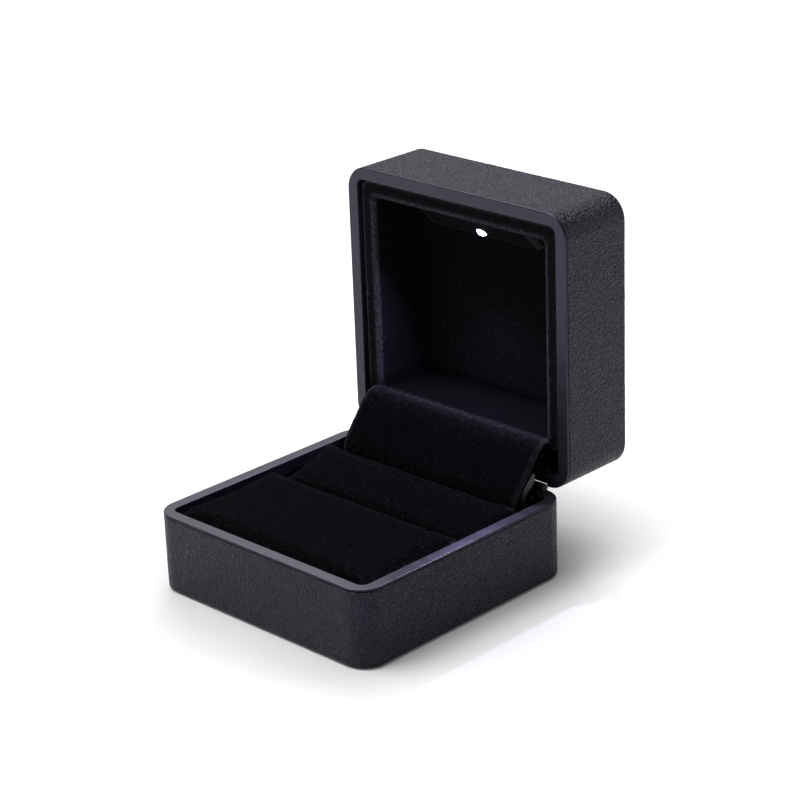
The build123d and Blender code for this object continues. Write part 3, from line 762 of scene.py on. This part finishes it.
def swell(pad, floor):
    """Blow the pad up as cloth, resting on its floor, and cap how far it moves."""
    rest = np.array([vertex.co for vertex in pad.data.vertices])
    resting = pad.vertex_groups.new(name="resting")
    level = (floor + 0.5) * MM * CLOTH_SCALE
    resting.add([index for index, point in enumerate(rest) if point[2] < level], 1.0, "REPLACE")
    cloth = pad.modifiers.new("cloth", "CLOTH")
    cloth.settings.quality = 6
    cloth.settings.mass = 0.3
    cloth.settings.tension_stiffness = 18
    cloth.settings.compression_stiffness = 12
    cloth.settings.bending_stiffness = 1.5
    cloth.settings.use_pressure = True
    cloth.settings.uniform_pressure_force = 4.0
    cloth.settings.vertex_group_mass = resting.name
    cloth.settings.effector_weights.gravity = 0
    cloth.collision_settings.use_collision = False
    for number in range(1, CLOTH_FRAMES + 1):
        bpy.context.scene.frame_set(number)
    applied(pad)
    bpy.context.scene.frame_set(1)
    moved = np.array([vertex.co for vertex in pad.data.vertices])
    step = moved - rest
    length = np.maximum(np.linalg.norm(step, axis=1), 1e-9)
    cap = PAD_CAP * MM * CLOTH_SCALE
    kept = rest + step * (cap * np.tanh(length / cap) / length)[:, None]
    pad.data.vertices.foreach_set("co", kept.astype(np.float32).ravel())
    pad.data.update()


def make_pad(name, cover, foam, front_drop, front_r, back_r):
    low, high = node_box(cover, WORLD)
    pad = pad_start(name, low, high, front_drop, front_r, back_r)
    remesh = pad.modifiers.new("remesh", "REMESH")
    remesh.mode = "VOXEL"
    remesh.voxel_size = VOXEL * MM * CLOTH_SCALE
    applied(pad)
    swell(pad, low.z)
    pad.data.transform(Matrix.Diagonal((1 / CLOTH_SCALE,) * 3 + (1,)))
    finer = pad.modifiers.new("finer", "SUBSURF")
    finer.levels = 2
    finer.render_levels = 2
    applied(pad)
    pad.data.shade_smooth()
    push_along_normals(pad, pile_height)
    finish_piece(pad, "base", "velvet", cover, foam)


# ---- spring, carried across the hinge ---------------------------------------------------------------


def make_spring():
    """A copy of the bowed spring strip in the hinge steel finish, in place of the CAD node."""
    source = frame["nodes"]["hinge_spring"]
    strip = add_object("bow_spring_strip", source.data.copy())
    strip.data.materials.clear()
    strip.data.materials.append(finish_for("hinge_steel"))
    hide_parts("hinge_spring")
    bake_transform(strip)


# ---- studio ------------------------------------------------------------------------------------------


FLOOR_REACH = 4.0
GLOW_START = 0.04           # the paper glows least up to this far from the middle of the box
GLOW_FULL = 0.08            # and most from here on
GLOW_LEAST = 0.06
GLOW_MOST = 0.50
SOFTBOXES = (               # name, place, what it points at, side, watts
    ("key", (-0.60, -0.75, 1.70), (0, 0, 0.03), 1.1, 34.0),
    ("top", (-0.10, -0.10, 1.80), (0, 0, 0.03), 1.4, 17.0),
    ("back", (-1.00, 1.10, 1.50), (0, 0, 0.06), 1.2, 24.0),
)
SKY_STOPS = ((0.0, 0.75), (0.10, 0.40), (0.22, 0.08), (0.75, 0.08), (0.92, 0.8))   # height, light
LAMP_WATTS = 0.17
LAMP_COLOUR = (0.68, 0.62, 1.0)
LAMP_CLEAR = 0.5 * MM       # the light stands this far out of the LED's front and underside


def make_floor():
    floor = Shape(Matrix.Diagonal((1, 1, 1, 1)))
    floor.cap(floor.add([(side_x * FLOOR_REACH, side_y * FLOOR_REACH, 0)
                         for side_x, side_y in ((-1, -1), (1, -1), (1, 1), (-1, 1))]))
    sheet = floor.build("studio_floor")
    paint = Finish("studio_paper", (0.50, 0.50, 0.50), 0.9, Specular_IOR_Level=0.1)
    paint.drive("Base Color", paint.blend(paint.noise(0.01), (0.49, 0.49, 0.49), (0.51, 0.51, 0.51)))
    # painted light: the paper glows, least near the box, which paints shade round it
    away = paint.node("ShaderNodeVectorMath", {"operation": "LENGTH"}, Vector=paint.place)
    paint.set("Emission Color", (1, 1, 1, 1))
    paint.drive("Emission Strength",
                paint.remap(away.outputs["Value"], GLOW_START, GLOW_FULL, GLOW_LEAST, GLOW_MOST))
    sheet.data.materials.append(paint.material)


def add_softbox(name, place, target, side, watts):
    light = bpy.data.lights.new(name, "AREA")
    light.shape = "SQUARE"
    light.size = side
    light.energy = watts
    lamp = bpy.data.objects.new(name, light)
    bpy.context.scene.collection.objects.link(lamp)
    lamp.location = place
    lamp.rotation_euler = (Vector(target) - Vector(place)).to_track_quat("-Z", "Y").to_euler()


def make_sky():
    """Bright at the horizon, dark above it, and bright overhead."""
    world = bpy.data.worlds.new("studio")
    bpy.context.scene.world = world
    world.use_nodes = True
    tree = world.node_tree
    direction = tree.nodes.new("ShaderNodeTexCoord").outputs["Generated"]
    split = tree.nodes.new("ShaderNodeSeparateXYZ")
    tree.links.new(direction, split.inputs[0])
    ramp = tree.nodes.new("ShaderNodeValToRGB")
    tree.links.new(split.outputs["Z"], ramp.inputs["Fac"])
    elements = ramp.color_ramp.elements
    for position, level in SKY_STOPS:
        stop = elements[0] if position == 0 else elements.new(position)
        stop.color = (level, level, level * 1.03, 1)
    elements[-1].color = (1, 1, 1, 1)
    tree.links.new(ramp.outputs["Color"], tree.nodes["Background"].inputs["Color"])
    tree.nodes["Background"].inputs["Strength"].default_value = 1.0


def make_lamp_light():
    """The light the lamp throws on the velvet and the rim."""
    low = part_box("led_lens")[0]
    light = bpy.data.lights.new("lamp_light", "SPOT")
    light.energy = LAMP_WATTS
    light.color = LAMP_COLOUR
    light.specular_factor = 0.3
    light.shadow_soft_size = 1.5 * MM
    light.spot_size = math.radians(140)
    light.spot_blend = 0.6
    lamp = bpy.data.objects.new("lamp_light", light)
    bpy.context.scene.collection.objects.link(lamp)
    lamp.location = (0, low.y - LAMP_CLEAR, low.z - LAMP_CLEAR)
    lamp.rotation_euler = Vector((0, -1, -1)).to_track_quat("-Z", "Y").to_euler()
    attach(lamp, "lid")


VIEW_AZIMUTH = math.radians(44.91)
VIEW_ELEVATION = math.radians(21.75)
VIEW_ROLL = math.radians(-2.18)
VIEW_DISTANCE = 0.5555
VIEW_TARGET = Vector((0.00067, 0.0132, 0.03952))
VIEW_LENS = 112.38


def make_camera():
    camera = bpy.data.objects.new("camera", bpy.data.cameras.new("camera"))
    bpy.context.scene.collection.objects.link(camera)
    camera.data.lens = VIEW_LENS
    camera.data.sensor_width = 36
    camera.data.clip_start = 0.01
    back = Vector((math.sin(VIEW_AZIMUTH) * math.cos(VIEW_ELEVATION),
                   -math.cos(VIEW_AZIMUTH) * math.cos(VIEW_ELEVATION), math.sin(VIEW_ELEVATION)))
    camera.location = VIEW_TARGET + back * VIEW_DISTANCE
    camera.rotation_mode = "QUATERNION"
    camera.rotation_quaternion = (-back).to_track_quat("-Z", "Y") @ Quaternion((0, 0, 1), VIEW_ROLL)
    bpy.context.scene.camera = camera


# ---- everything ------------------------------------------------------------------------------------

finish_cad_nodes()
make_wraps()
make_lining()
make_lamp_cover()
make_flap()
for pad in PADS:
    make_pad(*pad)
make_spring()

make_floor()
make_sky()
for softbox in SOFTBOXES:
    add_softbox(*softbox)
make_lamp_light()
make_camera()
bpy.context.scene.view_settings.view_transform = "Standard"
